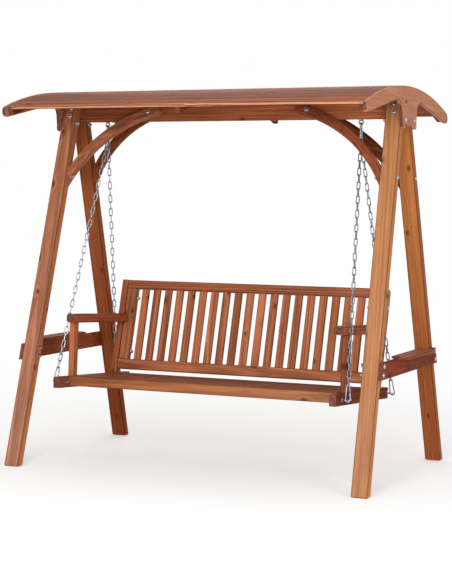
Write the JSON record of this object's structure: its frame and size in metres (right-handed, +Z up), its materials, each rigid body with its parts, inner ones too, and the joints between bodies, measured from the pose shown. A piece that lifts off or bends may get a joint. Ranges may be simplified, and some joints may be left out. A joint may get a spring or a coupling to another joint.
{
  "type": "canopy garden swing",
  "caption": "Timber garden swing seat hung by chains from a ridge beam between leaning A-frames, under an arched plank roof.",
  "frame": {"origin": "on the ground, in the middle of the four feet", "axes": "+X along the seat and the ridge beam, to the right as one faces the seat from the front; -Y to the front; +Z up"},
  "size_m": [2.056, 1.2608, 1.8821],
  "materials": {
    "honey_timber": "stained and oiled softwood, honey brown",
    "dark_timber": "stained and oiled softwood, reddish brown",
    "galvanised_steel": "bright zinc plating"
  },
  "bodies": {
    "frame": {"beam_eye_bolts": "galvanised_steel", "cross_rail_left": "dark_timber", "cross_rail_right": "dark_timber", "frame_bolts": "galvanised_steel", "frame_nuts": "galvanised_steel", "gable_board_left": "dark_timber", "gable_board_right": "dark_timber", "knee_brace_front_left": "honey_timber", "knee_brace_front_right": "honey_timber", "knee_brace_rear_left": "honey_timber", "knee_brace_rear_right": "honey_timber", "leg_front_left": "honey_timber", "leg_front_right": "honey_timber", "leg_rear_left": "honey_timber", "leg_rear_right": "honey_timber", "roof_planks": "dark_timber", "roof_rib_left": "dark_timber", "roof_rib_middle": "dark_timber", "roof_rib_right": "dark_timber", "side_tray_left": "dark_timber", "side_tray_right": "dark_timber", "top_beam": "dark_timber"},
    "swing": {"arm_post_left": "honey_timber", "arm_post_right": "honey_timber", "armrest_left": "honey_timber", "armrest_right": "honey_timber", "back_bolts": "galvanised_steel", "back_bottom_rail": "honey_timber", "back_post_left": "honey_timber", "back_post_right": "honey_timber", "back_slats": "honey_timber", "back_stile_left": "honey_timber", "back_stile_right": "honey_timber", "back_top_rail": "honey_timber", "bearer_screws": "galvanised_steel", "chain_front_left": "galvanised_steel", "chain_front_right": "galvanised_steel", "chain_rear_left": "galvanised_steel", "chain_rear_right": "galvanised_steel", "rail_eye_bolts": "galvanised_steel", "rail_hook_front_left": "galvanised_steel", "rail_hook_front_right": "galvanised_steel", "rail_hook_rear_left": "galvanised_steel", "rail_hook_rear_right": "galvanised_steel", "seat_bearers": "honey_timber", "seat_front_board": "honey_timber", "seat_nuts": "galvanised_steel", "seat_planks": "honey_timber", "seat_rail_left": "dark_timber", "seat_rail_right": "dark_timber", "seat_rear_board": "honey_timber", "top_hook_left": "galvanised_steel", "top_hook_right": "galvanised_steel"},
    "rail_hook_gate_front_left": {"rail_hook_gate_front_left": "galvanised_steel"},
    "rail_hook_gate_front_right": {"rail_hook_gate_front_right": "galvanised_steel"},
    "rail_hook_gate_rear_left": {"rail_hook_gate_rear_left": "galvanised_steel"},
    "rail_hook_gate_rear_right": {"rail_hook_gate_rear_right": "galvanised_steel"},
    "top_hook_gate_left": {"top_hook_gate_left": "galvanised_steel"},
    "top_hook_gate_right": {"top_hook_gate_right": "galvanised_steel"}
  },
  "joints": [
    {"name": "swing_pivot", "type": "hinge", "parent": "frame", "child": "swing", "pos_m": [0, 0, 1.703], "axis": [1, 0, 0], "range_deg": [-20, 20]},
    {"name": "top_hook_gate_right_hinge", "type": "hinge", "parent": "swing", "child": "top_hook_gate_right", "pos_m": [0.695, -0.00866, 1.69398], "axis": [1, 0, 0], "range_deg": [0, 18], "stiffness_Nm_per_rad": 0.3},
    {"name": "top_hook_gate_left_hinge", "type": "hinge", "parent": "swing", "child": "top_hook_gate_left", "pos_m": [-0.695, -0.00866, 1.69398], "axis": [1, 0, 0], "range_deg": [0, 18], "stiffness_Nm_per_rad": 0.3},
    {"name": "rail_hook_gate_front_right_hinge", "type": "hinge", "parent": "swing", "child": "rail_hook_gate_front_right", "pos_m": [0.78657, -0.36598, 0.4671], "axis": [0, 0.9545, -0.2981], "range_deg": [0, 18], "stiffness_Nm_per_rad": 0.3},
    {"name": "rail_hook_gate_front_left_hinge", "type": "hinge", "parent": "swing", "child": "rail_hook_gate_front_left", "pos_m": [-0.78657, -0.36598, 0.4671], "axis": [0, -0.9545, 0.2981], "range_deg": [0, 18], "stiffness_Nm_per_rad": 0.3},
    {"name": "rail_hook_gate_rear_right_hinge", "type": "hinge", "parent": "swing", "child": "rail_hook_gate_rear_right", "pos_m": [0.78661, 0.26157, 0.42665], "axis": [0, 0.9778, 0.2098], "range_deg": [0, 18], "stiffness_Nm_per_rad": 0.3},
    {"name": "rail_hook_gate_rear_left_hinge", "type": "hinge", "parent": "swing", "child": "rail_hook_gate_rear_left", "pos_m": [-0.78661, 0.26157, 0.42665], "axis": [0, -0.9778, -0.2098], "range_deg": [0, 18], "stiffness_Nm_per_rad": 0.3}
  ]
}
